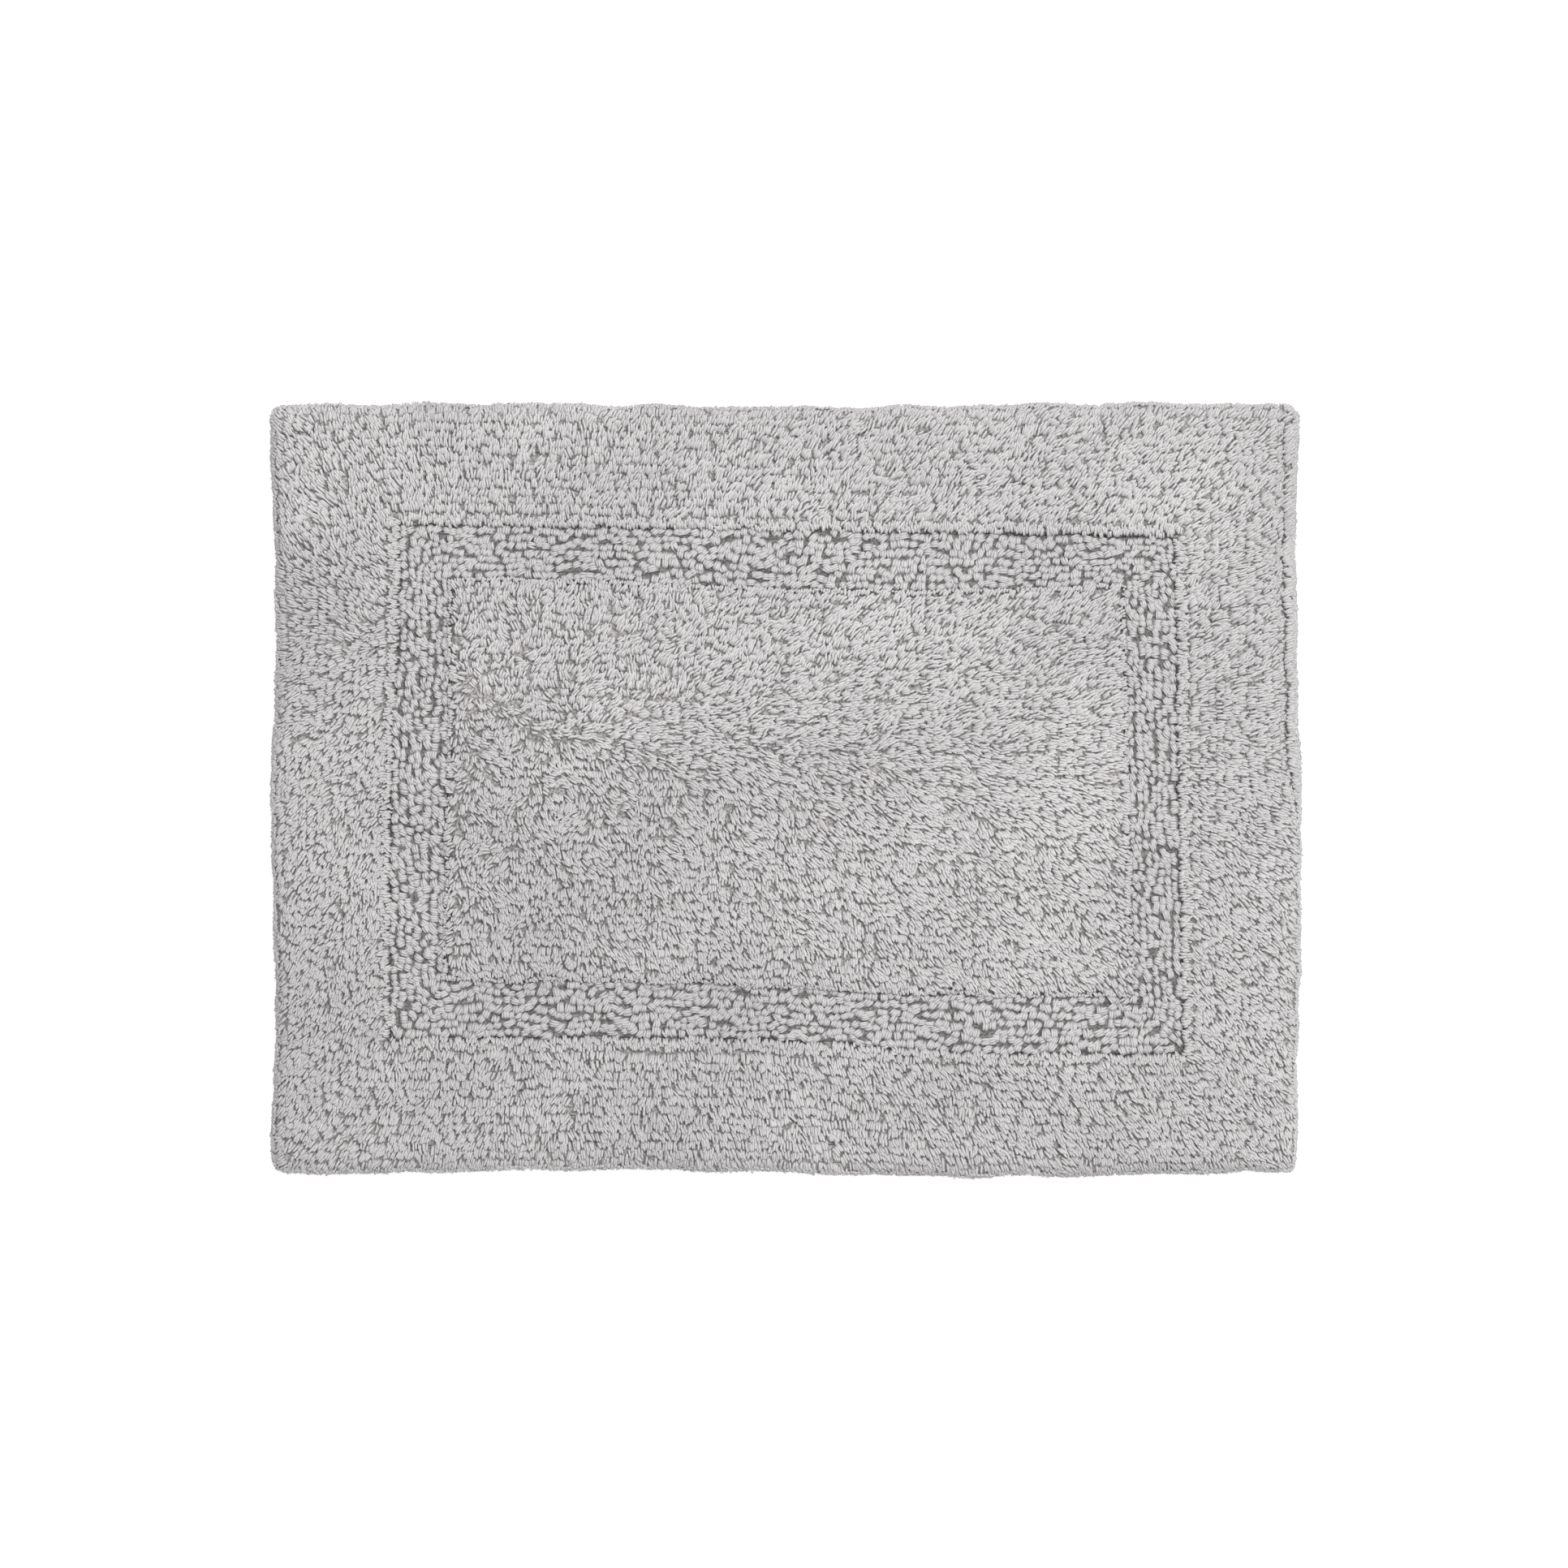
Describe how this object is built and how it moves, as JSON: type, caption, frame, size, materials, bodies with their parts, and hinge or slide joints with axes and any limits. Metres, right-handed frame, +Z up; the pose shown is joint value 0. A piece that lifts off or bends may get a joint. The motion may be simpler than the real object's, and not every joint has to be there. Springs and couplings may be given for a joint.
{
  "type": "bath mat",
  "caption": "Flat rectangular reversible bath mat of tufted cotton: cut pile border and centre, with a recessed frame of loop pile between them.",
  "frame": {"origin": "under the centre of the mat, on the surface that it lies on", "axes": "+X along the mat's long side, +Y across it, +Z up through the pile of the face"},
  "size_m": [0.61, 0.457, 0.022],
  "materials": {
    "cut_pile": "matt soft cotton yarn, sheared cut pile, pale warm grey",
    "loop_pile": "matt soft cotton yarn in closed loops, pale warm grey",
    "canvas": "plain woven cotton canvas, undyed tone under the pile",
    "sewing_thread": "spun polyester sewing thread, pale grey"
  },
  "bodies": {
    "root": {"base_cloth": "canvas", "hem_needle_thread": "sewing_thread", "hem_bobbin_thread": "sewing_thread", "face_border_pile_1": "cut_pile", "face_border_pile_2": "cut_pile", "face_border_pile_3": "cut_pile", "face_border_pile_4": "cut_pile", "face_border_pile_5": "cut_pile", "face_loop_row_1": "loop_pile", "face_loop_row_2": "loop_pile", "face_loop_row_3": "loop_pile", "face_loop_row_4": "loop_pile", "face_loop_row_5": "loop_pile", "face_loop_row_6": "loop_pile", "face_loop_row_7": "loop_pile", "face_centre_pile_1": "cut_pile", "face_centre_pile_2": "cut_pile", "face_centre_pile_3": "cut_pile", "face_centre_pile_4": "cut_pile", "face_centre_pile_5": "cut_pile", "reverse_border_pile_1": "cut_pile", "reverse_border_pile_2": "cut_pile", "reverse_border_pile_3": "cut_pile", "reverse_border_pile_4": "cut_pile", "reverse_border_pile_5": "cut_pile", "reverse_loop_row_1": "loop_pile", "reverse_loop_row_2": "loop_pile", "reverse_loop_row_3": "loop_pile", "reverse_loop_row_4": "loop_pile", "reverse_loop_row_5": "loop_pile", "reverse_loop_row_6": "loop_pile", "reverse_loop_row_7": "loop_pile", "reverse_centre_pile_1": "cut_pile", "reverse_centre_pile_2": "cut_pile", "reverse_centre_pile_3": "cut_pile", "reverse_centre_pile_4": "cut_pile", "reverse_centre_pile_5": "cut_pile"}
  },
  "joints": []
}
